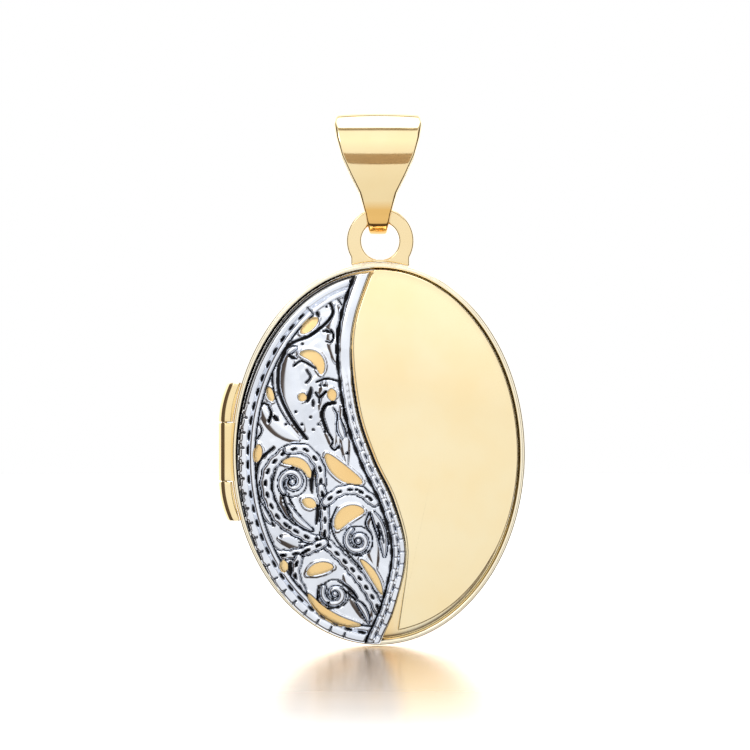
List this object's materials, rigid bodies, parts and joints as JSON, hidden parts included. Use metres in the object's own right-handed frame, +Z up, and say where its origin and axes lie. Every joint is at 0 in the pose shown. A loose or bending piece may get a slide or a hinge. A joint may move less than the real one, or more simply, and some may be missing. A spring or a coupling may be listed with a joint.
{
  "type": "locket",
  "caption": "Small oval hinged locket with a pierced scroll overlay on one side of its front, a folded bail on a ring lug and photo recesses inside.",
  "frame": {"origin": "top of the bail's opening, on the inner face of its apex, where a chain bears", "axes": "+Z up along the hanging locket, -Y out of its decorated front, +X to the right as seen from the front, away from the side hinge"},
  "size_m": [0.0171, 0.0043, 0.0296],
  "materials": {
    "yellow_gold": "polished",
    "white_gold": "polished",
    "hinge_pin_metal": "satin",
    "clear_window": "gloss",
    "photo_card": "matte"
  },
  "bodies": {
    "bail": {"bail": "yellow_gold"},
    "back_half": {"hanging_loop": "yellow_gold", "back_rim": "yellow_gold", "back_cover": "yellow_gold", "snap_bezel": "yellow_gold", "catch_bead": "yellow_gold", "back_photo_frame": "yellow_gold", "back_photo_window": "clear_window", "back_photo_card": "photo_card", "hinge_knuckle_upper": "yellow_gold", "hinge_knuckle_lower": "yellow_gold", "hinge_pin": "hinge_pin_metal"},
    "front_half": {"hinge_knuckle_middle": "yellow_gold", "front_rim": "yellow_gold", "front_cover": "yellow_gold", "plain_panel": "yellow_gold", "filigree_panel": "white_gold", "front_photo_frame": "yellow_gold", "front_photo_window": "clear_window", "front_photo_card": "photo_card"}
  },
  "joints": [
    {"name": "bail_swing", "type": "hinge", "parent": "bail", "child": "back_half", "pos_m": [0, 0.00037, -0.00522], "axis": [1, 0, 0], "range_deg": [-75, 75]},
    {"name": "cover_hinge", "type": "hinge", "parent": "back_half", "child": "front_half", "pos_m": [-0.00856, 0, -0.01845], "axis": [0, 0, -1], "range_deg": [0, 180]}
  ]
}
